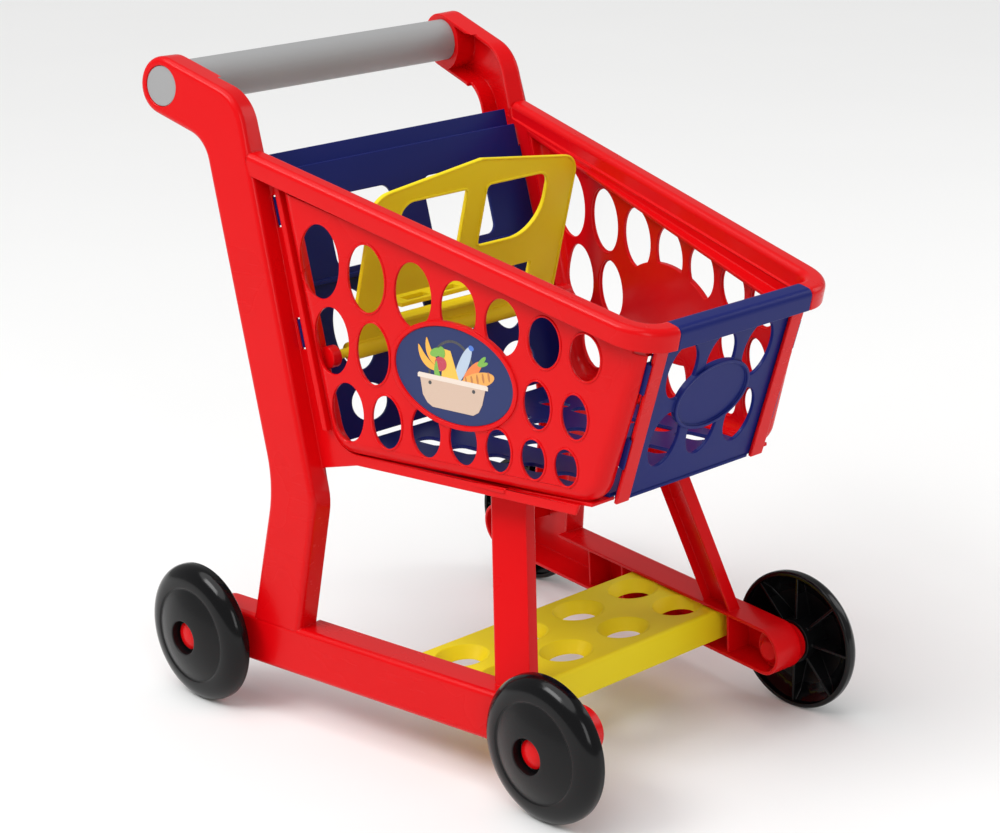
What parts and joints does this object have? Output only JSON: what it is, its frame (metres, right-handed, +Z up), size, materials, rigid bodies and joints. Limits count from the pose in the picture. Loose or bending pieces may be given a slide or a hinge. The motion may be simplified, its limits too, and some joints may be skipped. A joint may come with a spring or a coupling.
{
  "type": "toy shopping cart",
  "caption": "Child's moulded plastic shopping cart with a slotted basket, bottom shelf, bar handle, folding doll seat and rolling wheels.",
  "frame": {"origin": "centre of the cart's footprint on the floor, under the middle of its bounding box", "axes": "+Z up, +Y towards the handle and the pusher, -Y towards the front, +X to the cart's left as the pusher sees it turned round"},
  "size_m": [0.3332, 0.3968, 0.4138],
  "materials": {
    "red_plastic": "glossy moulded polypropylene",
    "blue_plastic": "semi-gloss moulded polypropylene",
    "yellow_plastic": "finely textured moulded plastic",
    "grey_plastic": "matte moulded plastic",
    "black_plastic": "moulded plastic, glossy shoulder and fine matte disc",
    "label": "printed film"
  },
  "bodies": {
    "cart": {"side_frame_left": "red_plastic", "side_frame_right": "red_plastic", "side_label_left": "label", "side_label_right": "label", "front_panel": "blue_plastic", "rear_panel": "blue_plastic", "basket_floor": "blue_plastic", "bottom_shelf": "yellow_plastic", "handle_tube": "grey_plastic", "handle_plug_left": "grey_plastic", "handle_plug_right": "grey_plastic", "seat_rod": "grey_plastic", "axle_pin_front_left": "red_plastic", "axle_pin_front_right": "red_plastic", "axle_pin_rear_left": "red_plastic", "axle_pin_rear_right": "red_plastic"},
    "seat_back": {"seat_back": "yellow_plastic"},
    "seat_plate": {"seat_plate": "yellow_plastic"},
    "wheel_front_left": {"wheel_front_left": "black_plastic"},
    "wheel_front_right": {"wheel_front_right": "black_plastic"},
    "wheel_rear_left": {"wheel_rear_left": "black_plastic"},
    "wheel_rear_right": {"wheel_rear_right": "black_plastic"}
  },
  "joints": [
    {"name": "wheel_front_left_spin", "type": "hinge", "parent": "cart", "child": "wheel_front_left", "pos_m": [0.1252, -0.1484, 0.046], "axis": [1, 0, 0], "continuous": true},
    {"name": "wheel_front_right_spin", "type": "hinge", "parent": "cart", "child": "wheel_front_right", "pos_m": [-0.1252, -0.1484, 0.046], "axis": [1, 0, 0], "continuous": true},
    {"name": "wheel_rear_left_spin", "type": "hinge", "parent": "cart", "child": "wheel_rear_left", "pos_m": [0.1611, 0.1316, 0.046], "axis": [1, 0, 0], "continuous": true},
    {"name": "wheel_rear_right_spin", "type": "hinge", "parent": "cart", "child": "wheel_rear_right", "pos_m": [-0.1611, 0.1316, 0.046], "axis": [1, 0, 0], "continuous": true},
    {"name": "seat_back_fold", "type": "hinge", "parent": "cart", "child": "seat_back", "pos_m": [0, 0.0516, 0.24], "axis": [1, 0, 0], "range_deg": [-26, 0]},
    {"name": "seat_plate_lift", "type": "hinge", "parent": "cart", "child": "seat_plate", "pos_m": [0, 0.0686, 0.262], "axis": [1, 0, 0], "range_deg": [-28, 0]}
  ]
}
